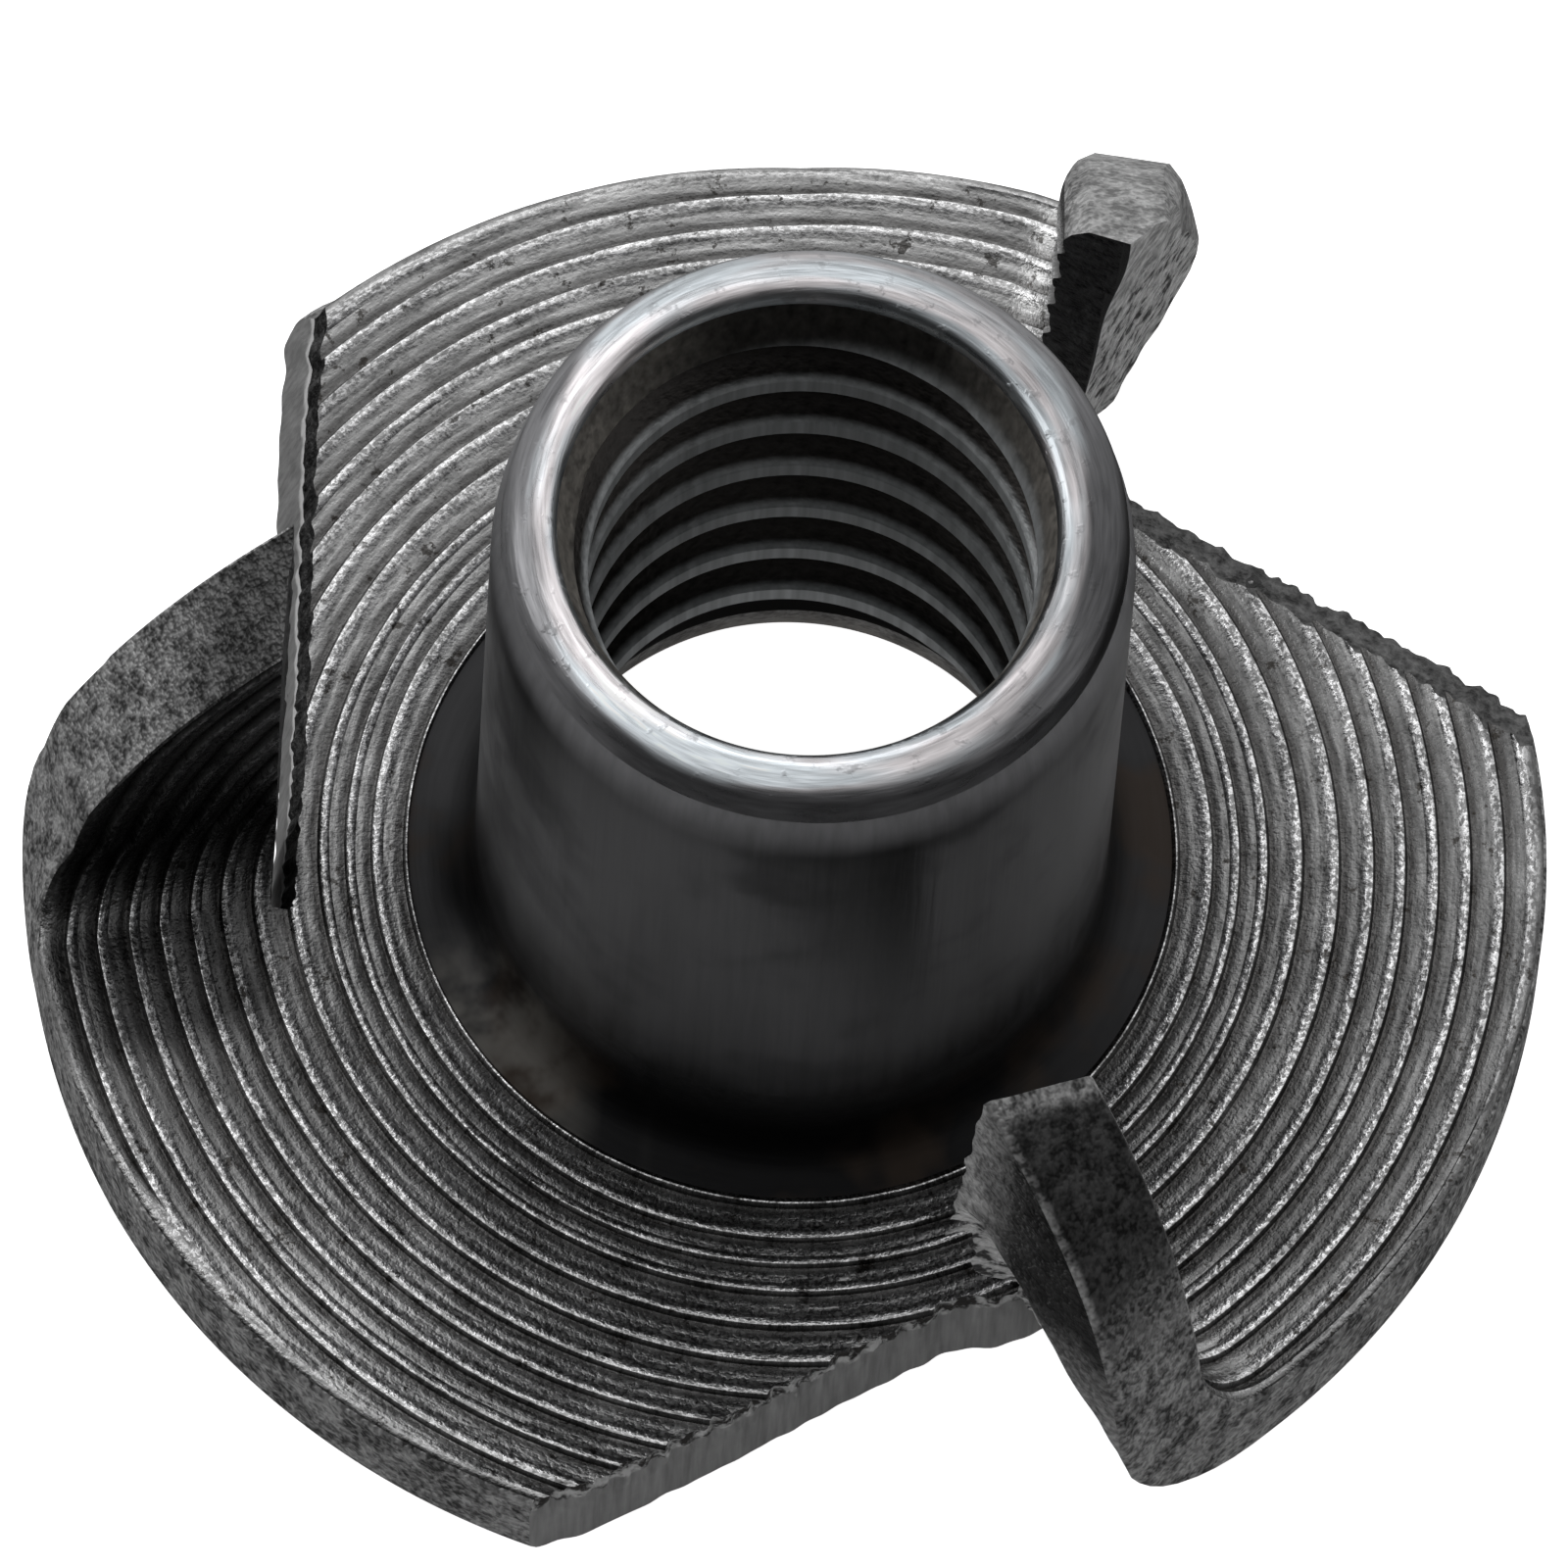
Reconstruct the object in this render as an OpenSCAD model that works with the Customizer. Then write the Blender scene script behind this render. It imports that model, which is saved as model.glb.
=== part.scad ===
// Three-prong tee nut: a drawn and threaded steel barrel on a round flange,
// with three flaps sheared out of the flange and folded up as prongs.
// Millimetres. The origin is the centre of the flange's underside, and the
// barrel points up along +Z.

/* [Flange] */
// Diameter of the round flange
flange_d = 22; // [18:0.5:30]
// Thickness of the flange plate
flange_t = 1.8; // [1.4:0.1:2.4]
// Bevel that breaks the flange's rim edges
rim_bevel = 0.15; // [0.05:0.05:0.3]

/* [Rings] */
// Radius at which the turned rings of the flange's upper face begin
ring_start_r = 5.6; // [5.4:0.1:7]
// Distance from one turned ring to the next
ring_pitch = 0.48; // [0.3:0.02:1]
// Depth of the grooves between the rings
ring_depth = 0.12; // [0.05:0.01:0.25]

/* [Barrel] */
// Outer diameter of the barrel
barrel_d = 9.2; // [8.6:0.1:10]
// Height from the flange's underside to the barrel's tip
barrel_h = 12.9; // [9:0.1:20]
// Radius of the collar between the barrel and the flange
collar_r = 0.9; // [0.4:0.1:1.2]
// Radius that rounds the barrel's outer edge at the tip
tip_r = 0.5; // [0.2:0.05:0.7]
// Height over which the barrel narrows towards its tip
tip_taper_h = 1.2; // [0.8:0.1:2]
// Narrowing of the barrel's radius over that height
tip_taper = 0.15; // [0:0.05:0.3]

/* [Bore] */
// Diameter of the bore at the thread's crests
bore_d = 6.4; // [5.8:0.05:6.8]
// Diameter of the bore's mouth at the barrel's tip
mouth_d = 7.3; // [7:0.1:7.6]
// Depth of the tapered lead-in at the tip
mouth_h = 0.8; // [0.4:0.1:1.5]
// Diameter of the plain bore under the thread
throat_d = 7; // [6.9:0.1:7.6]
// Radius of the drawn entry on the flange's underside
entry_r = 2; // [1:0.1:2.4]

/* [Prongs] */
// Number of prongs
prong_count = 3; // [2:1:3]
// Distance from the axis to each prong's sheared edge
shear_x = 7.5; // [7:0.1:8.5]
// Turn of the fold line from square to the sheared edge
fold_turn = 19; // [5:1:22]
// Distance of the fold line from the axis
fold_y = 1.1; // [-0.4:0.1:1.4]
// Angle through which each prong is folded up
fold_angle = 91; // [75:1:95]
// Radius inside the fold
fold_r = 0.9; // [0.5:0.1:1.4]
// Bulge of the plate's edge beside the fold
fold_bulge = 0.12; // [0.05:0.01:0.25]
// Distance from the axis to the relief down each prong's outer side, at the underside
relief_y = -0.4; // [-0.6:0.1:0.2]
// Lean of that relief away from the prong's outer side as it climbs
relief_lean = 15; // [10:1:25]
// Radius of the relief's inner corner
relief_r = 0.6; // [0.3:0.1:1]

/* [Hidden] */
$fn = 96;
steel = [0.30, 0.30, 0.31];
arc_steps = 6;             // straight steps in each rounded corner
over = 1;                  // how far a cutting shape runs past what it cuts
neutral_layer = 0.15;      // share of the plate inside the fold's neutral layer
flange_r = flange_d / 2;
barrel_r = barrel_d / 2;
bore_r = bore_d / 2;
mouth_r = mouth_d / 2;
throat_r = throat_d / 2;
throat_h = entry_r + (throat_r - bore_r);
entry_end = 80;            // degrees of the entry's curve, just short of level
relief_nick = 0.1;         // how far the relief bites into the sheared edge
fold_thin = 0.05;          // how much the plate thins on each side of the fold
shear_lap = 0.05;          // how far each prong's end reaches into the plate beside it
fold_lap = 3;              // degrees by which the fold runs on into the plate and the prong
ring_count = floor((flange_r - rim_bevel - ring_start_r) / ring_pitch);
fold_len = fold_angle * PI / 180 * (fold_r + neutral_layer * flange_t);
fold_z = flange_t + fold_r;
plain_t = flange_t - ring_depth;

// Points of an arc about (x, y), from angle a to angle b in degrees.
function arc(x, y, r, a, b) =
    [for (i = [0:arc_steps]) let (t = a + (b - a) * i / arc_steps)
        [x + r * cos(t), y + r * sin(t)]];

// Zigzag outline of the turned rings, from the inner ring outwards.
function rings() =
    [for (i = [0:ring_count - 1], half = [0, 1])
        [ring_start_r + (i + half / 2) * ring_pitch, flange_t - half * ring_depth]];

// Half section of the flange plate outside radius r0.
module plate_section(r0) {
    polygon(concat(
        [[r0, 0], [flange_r - rim_bevel, 0], [flange_r, rim_bevel]],
        [[flange_r, flange_t - rim_bevel], [flange_r - rim_bevel, flange_t]],
        [[ring_start_r + ring_count * ring_pitch, flange_t]],
        [for (i = [len(rings()) - 1:-1:0]) rings()[i]],
        [[r0, flange_t]]));
}

// Half section of the barrel with its collar and rounded tip, still solid.
module barrel_section() {
    tip_out_r = barrel_r - tip_taper;
    polygon(concat(
        [[0, 0], [barrel_r, 0]],
        arc(barrel_r + collar_r, flange_t + collar_r, collar_r, 270, 180),
        [[barrel_r, barrel_h - tip_taper_h]],
        arc(tip_out_r - tip_r, barrel_h - tip_r, tip_r, 0, 90),
        [[0, barrel_h]]));
}

// The bore: lead-in, thread core, plain throat and drawn entry, as one tool.
module bore_tool() {
    rotate_extrude()
        polygon(concat(
            [[0, -over], [throat_r + entry_r, -over]],
            arc(throat_r + entry_r, entry_r, entry_r, 180 + entry_end, 180),
            [[bore_r, throat_h], [bore_r, barrel_h - mouth_h]],
            [[mouth_r, barrel_h], [mouth_r, barrel_h + over], [0, barrel_h + over]]));
}

// The flange plate as a full disc with a plain hole of radius r0.
module plate(r0) {
    rotate_extrude() plate_section(r0);
}

// Everything beyond the sheared edge, on the side away from the axis, and a lap on its near side.
module beyond_shear(lap = 0) {
    translate([-shear_x + lap - 2 * flange_r, -2 * flange_r, -over])
        cube([2 * flange_r, 4 * flange_r, 2 * flange_r]);
}

// Half space past the fold line, in the fold's own frame.
module past_fold(y0) {
    translate([-2 * flange_r, y0, -over])
        cube([4 * flange_r, 2 * flange_r, flange_t + 2 * over]);
}

// Gap that the flap leaves in the flange.
module notch() {
    intersection() {
        beyond_shear();
        rotate([0, 0, fold_turn]) past_fold(fold_y);
    }
}

// Turns what lies past the fold line up about the fold's axis.
module folded(angle) {
    translate([0, fold_y, fold_z])
        rotate([angle, 0, 0])
            translate([0, -fold_y - fold_len, -fold_z])
                children();
}

// The curved stretch of plate in the fold, thinned a little and run on into the plate at both ends.
module fold_zone() {
    translate([-2 * flange_r, fold_y, fold_z])
        rotate([-fold_lap, 0, 0])
            rotate([0, 90, 0])
                rotate_extrude(angle = fold_angle + 2 * fold_lap)
                    translate([fold_r + ring_depth + fold_thin, 0])
                        square([plain_t - 2 * fold_thin, 2 * flange_r]);
}

// One prong: the flap folded up, with the flange's rim as its outer edge.
module prong() {
    intersection() {
        beyond_shear(shear_lap);
        rotate([0, 0, fold_turn]) {
            intersection() {
                fold_zone();
                cylinder(r = flange_r + fold_bulge, h = 2 * fold_z);
                folded(fold_angle)
                    translate([0, 0, -fold_z])
                        cylinder(r = flange_r + fold_bulge, h = 3 * fold_z);
            }
            folded(fold_angle)
                intersection() {
                    plate(ring_start_r - ring_pitch);
                    past_fold(fold_y + fold_len);
                }
        }
    }
}

// Relief torn down the prong's outer side, with a round inner corner at the sheared edge.
module relief() {
    translate([-shear_x + relief_nick, relief_y, 0])
        rotate([-relief_lean, 0, 0])
            translate([0, 0, -over])
                linear_extrude(height = flange_r + over)
                    translate([-relief_r, relief_r]) {
                        circle(r = relief_r);
                        translate([-flange_r, -relief_r]) square([flange_r, flange_r]);
                        translate([-flange_r, 0]) square([flange_r + relief_r, flange_r]);
                    }
}

module tee_nut() {
    color(steel)
        difference() {
            union() {
                difference() {
                    plate(bore_r);
                    for (i = [0:prong_count - 1]) rotate([0, 0, i * 360 / prong_count]) notch();
                }
                rotate_extrude() barrel_section();
                for (i = [0:prong_count - 1]) rotate([0, 0, i * 360 / prong_count]) prong();
            }
            for (i = [0:prong_count - 1]) rotate([0, 0, i * 360 / prong_count]) relief();
            bore_tool();
        }
}

tee_nut();
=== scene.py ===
"""Pronged tee nut: a threaded steel barrel on a ringed flange, with three flaps folded up as prongs.

Laid out as a Blender add-on and run as a script. The nut is worked the way the real one is: a turned
blank, three cuts through its flange, and three flaps folded up past the cuts.
"""
import math

import bpy
import bmesh
import numpy as np
from bpy.props import FloatProperty, FloatVectorProperty, IntProperty, PointerProperty
from mathutils import Matrix, Vector


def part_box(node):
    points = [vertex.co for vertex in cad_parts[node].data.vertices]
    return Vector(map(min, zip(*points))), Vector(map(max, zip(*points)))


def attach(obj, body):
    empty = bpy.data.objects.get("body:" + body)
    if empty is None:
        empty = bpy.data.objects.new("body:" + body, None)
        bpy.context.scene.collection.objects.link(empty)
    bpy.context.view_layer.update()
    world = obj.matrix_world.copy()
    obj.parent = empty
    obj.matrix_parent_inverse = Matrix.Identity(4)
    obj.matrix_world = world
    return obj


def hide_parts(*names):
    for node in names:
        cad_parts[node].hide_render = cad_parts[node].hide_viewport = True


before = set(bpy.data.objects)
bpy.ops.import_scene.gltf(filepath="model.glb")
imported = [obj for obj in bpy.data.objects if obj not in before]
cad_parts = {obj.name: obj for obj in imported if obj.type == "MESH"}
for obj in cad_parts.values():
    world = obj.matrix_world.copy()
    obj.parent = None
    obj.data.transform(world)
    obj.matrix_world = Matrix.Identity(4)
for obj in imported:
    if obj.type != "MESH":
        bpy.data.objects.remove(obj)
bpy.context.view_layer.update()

bl_info = {
    "name": "Tee nut",
    "version": (1, 0, 0),
    "blender": (4, 5, 0),
    "location": "3D View > Sidebar > Tee nut",
    "description": "A pronged tee nut of bare steel, on a plain pale floor",
    "category": "Object",
}

NODE_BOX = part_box("tee_nut")
MM = 0.001
PIECE = "tee_nut_steel"
SEED = 31
WELD = 2e-8              # points nearer to each other than this, in metres, are joined
SHARP_EDGE = math.radians(38)    # edges that turn more than this are shaded sharp

# finishes, in the order of the nut's material slots
FINISHES = ("turned_face", "barrel_skin", "polished_mouth", "thread", "sheared_edge", "rim_face",
            "sheet_skin", "torn_face", "broken_edge")
TURNED, BARREL, MOUTH, THREAD, SHEARED, RIM, SHEET, TORN, BROKEN = range(len(FINISHES))


# ---------------------------------------------------------------- sizes and colours

class FlangeSizes(bpy.types.PropertyGroup):
    radius: FloatProperty(name="Radius", description="Radius of the round flange",
                          default=11 * MM, unit="LENGTH", precision=5)
    thickness: FloatProperty(name="Thickness", description="Thickness of the flange plate",
                             default=1.8 * MM, unit="LENGTH", precision=5)
    edge_round: FloatProperty(name="Edge rounding", description="Rounding of the rim's upper edge",
                              default=0.16 * MM, unit="LENGTH", precision=5)
    ring_depth: FloatProperty(name="Ring depth", description="Depth of the grooves between turned rings",
                              default=0.1 * MM, unit="LENGTH", precision=5)
    columns: IntProperty(name="Columns", description="Steps round the nut", default=320, min=96, max=720)


class BarrelSizes(bpy.types.PropertyGroup):
    radius: FloatProperty(name="Radius", description="Outer radius of the barrel",
                          default=4.6 * MM, unit="LENGTH", precision=5)
    height: FloatProperty(name="Height", description="Height from the underside to the barrel's tip",
                          default=NODE_BOX[1].z, unit="LENGTH", precision=5)
    collar: FloatProperty(name="Collar", description="Radius of the collar under the barrel",
                          default=0.9 * MM, unit="LENGTH", precision=5)
    mouth: FloatProperty(name="Mouth radius", description="Radius of the bore's open mouth",
                         default=3.7 * MM, unit="LENGTH", precision=5)
    crest: FloatProperty(name="Thread crest", description="Radius of the thread's crests",
                         default=3.2 * MM, unit="LENGTH", precision=5)
    root: FloatProperty(name="Thread root", description="Radius of the thread's roots",
                        default=3.96 * MM, unit="LENGTH", precision=5)
    pitch: FloatProperty(name="Thread pitch", description="Distance from one thread turn to the next",
                         default=1.41 * MM, unit="LENGTH", precision=5)


class ProngSizes(bpy.types.PropertyGroup):
    cut_x: FloatProperty(name="Cut", description="Distance from the axis to each prong's inner end",
                         default=7.48 * MM, unit="LENGTH", precision=5)
    fold_radius: FloatProperty(name="Fold radius", description="Radius inside each fold",
                               default=0.88 * MM, unit="LENGTH", precision=5)


class FinishColours(bpy.types.PropertyGroup):
    steel: FloatVectorProperty(name="Steel", description="Colour of the bare turned steel",
                               subtype="COLOR", size=3, min=0, max=1, default=(0.3, 0.3, 0.3))
    # this colour is oily dirt and painted shade in the grooves, painted shade on the thread's flanks and
    # roots, and the dark of the cut walls' chips
    dark: FloatVectorProperty(name="Grooves", description="Colour of the oily dark in the grooves",
                              subtype="COLOR", size=3, min=0, max=1, default=(0.045, 0.042, 0.04))
    barrel: FloatVectorProperty(name="Barrel", description="Colour of the drawn barrel",
                                subtype="COLOR", size=3, min=0, max=1, default=(0.25, 0.25, 0.26))


class StageLook(bpy.types.PropertyGroup):
    floor: FloatVectorProperty(name="Floor", description="Colour of the plain floor",
                               subtype="COLOR", size=3, min=0, max=1, default=(0.9, 0.9, 0.9))
    floor_glow: FloatProperty(name="Floor glow", description="How much the floor is lit from below",
                              default=0.95, min=0)
    room_light: FloatProperty(name="Room light", description="Strength of the even light all round",
                              default=0.8, min=0)
    distance: FloatProperty(name="Camera distance", description="From the flange's centre to the camera",
                            default=0.4403, unit="LENGTH", precision=5)
    elevation: FloatProperty(name="Camera elevation", description="Height of the camera above the horizon",
                             default=math.radians(65.535), subtype="ANGLE")
    pan: FloatProperty(name="Camera pan", description="Turn of the camera to the side of the nut's centre",
                       default=math.radians(0.022), subtype="ANGLE")
    tilt: FloatProperty(name="Camera tilt", description="Turn of the camera above the nut's centre",
                        default=math.radians(-0.215), subtype="ANGLE")
    roll: FloatProperty(name="Camera roll", description="Turn of the camera about its line of sight",
                        default=math.radians(4.516), subtype="ANGLE")
    lens: FloatProperty(name="Lens", description="Focal length of the camera in millimetres",
                        default=692.8)


# ---------------------------------------------------------------- small helpers

def wander(angles, seed, steps=12, size=1.0):
    """A smooth random wave round the circle, between about -size and size, the same on each run."""
    rng = np.random.default_rng(SEED * 1000 + seed)
    wave = np.zeros_like(angles, dtype=float)
    total = 0.0
    for k in range(1, steps + 1):
        share = 1 / math.sqrt(k)
        wave += share * rng.uniform(-1, 1) * np.cos(k * angles + rng.uniform(0, 2 * math.pi))
        total += share * share
    return size * wave / math.sqrt(total)


def smooth(x, lo, hi):
    """0 below lo, 1 above hi, and a smooth step between."""
    t = np.clip((np.asarray(x, float) - lo) / (hi - lo), 0, 1)
    return t * t * (3 - 2 * t)


def new_mesh(name, points, faces, finish):
    """A mesh object from points in millimetres, faces and a material index for each face."""
    mesh = bpy.data.meshes.new(name)
    mesh.from_pydata((np.asarray(points) * MM).tolist(), [], [list(map(int, f)) for f in faces])
    for kind in FINISHES:
        mesh.materials.append(bpy.data.materials[kind])
    mesh.polygons.foreach_set("material_index", np.asarray(finish, np.int32))
    obj = bpy.data.objects.new(name, mesh)
    bpy.context.scene.collection.objects.link(obj)
    return obj


def weld(obj):
    """Joins points that coincide, drops what collapses, and turns all faces outwards."""
    bm = bmesh.new()
    bm.from_mesh(obj.data)
    bmesh.ops.remove_doubles(bm, verts=bm.verts, dist=WELD)
    bmesh.ops.dissolve_degenerate(bm, edges=bm.edges, dist=WELD)
    bmesh.ops.triangulate(bm, faces=[f for f in bm.faces if len(f.verts) > 3])
    bmesh.ops.recalc_face_normals(bm, faces=bm.faces)
    if bm.calc_volume() < 0:
        bmesh.ops.reverse_faces(bm, faces=bm.faces)
    bm.to_mesh(obj.data)
    bm.free()


def cut(obj, tool):
    """Cuts the tool out of the object, and removes the tool."""
    step = obj.modifiers.new("cut", "BOOLEAN")
    step.operation, step.object, step.solver = "DIFFERENCE", tool, "MANIFOLD"
    done = bpy.data.meshes.new_from_object(obj.evaluated_get(bpy.context.evaluated_depsgraph_get()))
    obj.modifiers.remove(step)
    old = obj.data
    obj.data = done
    bpy.data.meshes.remove(old)
    bpy.data.meshes.remove(tool.data)


def places(obj):
    """The object's points, in millimetres."""
    co = np.empty(len(obj.data.vertices) * 3)
    obj.data.vertices.foreach_get("co", co)
    return co.reshape(-1, 3) / MM


def put_places(obj, points):
    """Moves the object's points to places in millimetres."""
    obj.data.vertices.foreach_set("co", (points * MM).ravel())
    obj.data.update()


def band(a, b):
    """Quads that join two closed rows of point numbers."""
    return np.stack([a, np.roll(a, -1), np.roll(b, -1), b], -1)


def sleeve(count, around):
    """Point numbers of a sleeve of closed rows, and the quads between each row and the next."""
    index = np.arange(count * around).reshape(count, around)
    return index, [quad for i in range(count - 1) for quad in band(index[i], index[i + 1])]


def ripples(rng, steps, along, waves, up=None, lean=0):
    """A sum of random waves along a wall, which lean as they climb where heights are given."""
    total = 0.0
    for _ in range(steps):
        share = rng.uniform(-1, 1)
        phase = along * rng.uniform(*waves)
        if up is not None:
            phase = phase + up * rng.uniform(-lean, lean)
        total = total + share * np.sin(phase + rng.uniform(0, 6.3))
    return total


# ---------------------------------------------------------------- the turned blank

# Radius of each turned ridge, and the outline from one ridge to the next: distance outwards as a share
# of the way, and depth as a share of the groove's.
RIDGES = (5.62, 6.14, 6.54, 6.95, 7.47, 8.02, 8.53, 9.01, 9.5, 9.98, 10.49, 10.97, 11.46)
RIDGE_OUTLINE = ((0, 0), (0.04, 0.03), (0.08, 0.5), (0.13, 0.9), (0.22, 0.85), (0.34, 0.6), (0.5, 0.45),
                 (0.7, 0.4), (0.78, 0.1), (0.9, 0.02))
RIDGE_WAVER = 0.006      # how far each ridge wavers from its circle
RIDGE_SINK = 0.02        # how far the ringed face lies under the plate's full thickness


def ring_drift(radius, angle):
    """How far the turned rings run out of true, because the flange was turned a little off centre."""
    run = (-0.056 + 0.111 * np.cos(angle) - 0.084 * np.sin(angle)
           - 0.158 * np.cos(2 * angle) - 0.035 * np.sin(2 * angle))
    return (radius - 5.0) / 5.0 * run


def ring_rows(angle, top, depth, last):
    """Rows of (radius, height) of the ringed face, outwards, held at the rim's start."""
    rows = []
    for k, (a, b) in enumerate(zip(RIDGES, RIDGES[1:])):
        deep = depth * (1 + wander(angle, 10 + k, 30, 0.14))
        proud = 0.012 + wander(angle, 40 + k, 60, 0.012)
        for share, down in RIDGE_OUTLINE:
            rows.append((a + share * (b - a), deep * down - proud * max(0.0, 1 - down * 8)))
    base = np.array([[r for r, _ in rows]]).T
    sunk = np.array([d * np.ones_like(angle) for _, d in rows])
    waver = np.array([wander(angle, 80 + i // len(RIDGE_OUTLINE), 40) for i in range(len(rows))])
    radius = base + ring_drift(base, angle) + RIDGE_WAVER * waver
    # where the rings run past the rim's start they are held there, at the height they have on it
    height = top - RIDGE_SINK - sunk
    held = np.minimum(radius, last)
    level = np.empty_like(height)
    for j in range(len(angle)):
        level[:, j] = np.interp(held[:, j], radius[:, j], height[:, j])
    return held, level


def thread_radius(turn, crest, root):
    """Radius of the thread at a share of a turn along its pitch, with the crest at 0."""
    u = np.abs(((np.asarray(turn) + 0.5) % 1.0) - 0.5)
    return np.interp(u, (0, 0.115, 0.14, 0.41, 0.44, 0.5),
                     (crest, crest, crest + 0.03, root - 0.04, root, root))


# Shares of a turn at which the thread's outline has a point.
THREAD_STEPS = (0.0, 0.115, 0.14, 0.275, 0.41, 0.44, 0.56, 0.59, 0.725, 0.86, 0.885)
THREAD_START = 0.3       # share of a pitch that sets where the thread's crests lie
LEAD_IN = 1.2            # depth of the tapered mouth
THROAT = (3.7, 2.0)      # radius and height of the plain throat under the thread
ENTRY = 2.0              # radius of the drawn entry on the underside
MOUTH_SHIFT = -0.12      # how far the mouth lies off the barrel's axis, along X
MOUTH_SQUEEZE = (0.03, 0.035)    # share by which the mouth is narrowed along X and along Y
SHOULDER = 0.5           # radius of the barrel's rounded tip
TIP_LEAN = 0.12          # how far the barrel narrows under that rounding


def off_centre(points, tall):
    """The points' places across the axis, with the mouth narrowed and pushed off centre."""
    radius = np.hypot(points[:, 0], points[:, 1])
    share = smooth(points[:, 2], tall - 1.3, tall - 0.3) * (1 - smooth(radius, 3.95, 4.4))
    return np.column_stack([points[:, 0] * (1 - MOUTH_SQUEEZE[0] * share) + MOUTH_SHIFT * share,
                            points[:, 1] * (1 - MOUTH_SQUEEZE[1] * share)])


def outer_rows(flange, barrel, angle):
    """Rows round the blank from the throat outwards and up to the mouth: radii, heights, finishes."""
    one = np.ones_like(angle)
    top, edge, full = flange.thickness / MM, flange.edge_round / MM, flange.radius / MM
    tall, out, fillet = barrel.height / MM, barrel.radius / MM, barrel.collar / MM
    mouth = barrel.mouth / MM
    radii, heights, finish = [], [], []

    def row(r, z, kind):
        radii.append(r * one)
        heights.append(z * one)
        finish.append(kind)

    # entry and underside, from the throat outwards
    for step in range(9):
        a = math.radians(180 + 90 * step / 9)
        row(THROAT[0] + ENTRY + ENTRY * math.cos(a), ENTRY + ENTRY * math.sin(a), SHEET)
    for r in (THROAT[0] + ENTRY, 6.2, *np.linspace(6.9, full - 0.2, 15)):
        row(r, 0, SHEET)
    # rim: a crushed lower corner, the blanked face and the rounded upper edge
    ragged = wander(angle, 5, 40, 0.02)
    oval = (0.03 + 0.04 * np.cos(angle - math.radians(210))
            + 0.03 * np.cos(4 * (angle - math.radians(15))))
    for r, z in ((full - 0.06, 0.03), (full - 0.01, 0.12)):
        row(r + oval, z, RIM)
    for z in np.linspace(0.3, top - edge - 0.02, 7):
        row(full + oval, z, RIM)
    for a in (20, 45, 70, 90):
        row(full - edge + edge * math.cos(math.radians(a)) + oval + ragged * (a / 90),
            top - edge * (1 - math.sin(math.radians(a))) - RIDGE_SINK - 0.012,
            RIM if a < 60 else TURNED)
    # the ringed face, inwards
    held, level = ring_rows(angle, top, flange.ring_depth / MM, full - edge - 0.05)
    for r, z in zip(held[::-1], level[::-1]):
        row(r, z, TURNED)
    # collar and barrel
    row(out + fillet + 0.05, top - 0.075, BARREL)
    for a in np.linspace(268, 182, 10):
        row(out + fillet + fillet * math.cos(math.radians(a)),
            top - 0.06 + fillet + fillet * math.sin(math.radians(a)), BARREL)
    for z in np.linspace(top + fillet + 0.15, tall - 1.25, 14):
        row(out, z, BARREL)
    row(out - 0.035, tall - 0.9, BARREL)
    for a in np.linspace(5, 62, 7):
        row(out - TIP_LEAN - SHOULDER + SHOULDER * math.cos(math.radians(a)),
            tall - SHOULDER + SHOULDER * math.sin(math.radians(a)) - 0.01, MOUTH)
    for r, z in ((4.13, tall - 0.05), (4.02, tall - 0.01), (3.92, tall), (3.82, tall - 0.03),
                 (mouth + 0.03, tall - 0.1), (mouth - 0.03, tall - 0.22)):
        row(r, z, MOUTH)
    return np.array(radii), np.array(heights), finish


def bore_surface(barrel, columns, r_top, z_top):
    """The bore's points, in rows that climb with the thread and are held at the mouth and the throat,
    and the quads between them, without those that have no height."""
    tall, crest, root, pitch = (v / MM for v in (barrel.height, barrel.crest, barrel.root, barrel.pitch))
    z_low = THROAT[1]
    turns = np.linspace(0, 1, columns + 1)
    first = math.floor(z_low / pitch) - 2
    steps = [(t, s) for t in range(first, math.ceil(z_top / pitch) + 1) for s in THREAD_STEPS]
    climb = np.array([(t + s) for t, s in steps])[:, None] * pitch
    climb = climb + THREAD_START * pitch + pitch * turns[None, :]
    shape = thread_radius(np.array([s for _, s in steps]), crest, root)[:, None] * np.ones_like(climb)
    z = np.clip(climb, z_low, z_top)
    lead = np.interp(z, (z_low, 2.9, 3.3, tall - LEAD_IN, z_top),
                     (THROAT[0], THROAT[0], crest, crest, r_top))
    limit = np.interp(z, (z_low, 2.9, 3.6, tall - LEAD_IN - 0.3, tall - LEAD_IN + 0.3, z_top),
                      (THROAT[0], THROAT[0], root, root, crest + 0.2, r_top))
    r = np.clip(shape, lead, np.maximum(limit, lead))
    turn = 2 * math.pi * turns[None, :] * np.ones_like(climb)
    grid = np.arange(z.size).reshape(z.shape)
    quads = np.stack([grid[:-1, :-1], grid[:-1, 1:], grid[1:, 1:], grid[1:, :-1]], -1).reshape(-1, 4)
    flat = (z[:-1, :-1] == z[1:, 1:]) & (z[:-1, 1:] == z[1:, :-1])
    return np.stack([r * np.cos(turn), r * np.sin(turn), z], -1), quads[~flat.ravel()]


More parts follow.
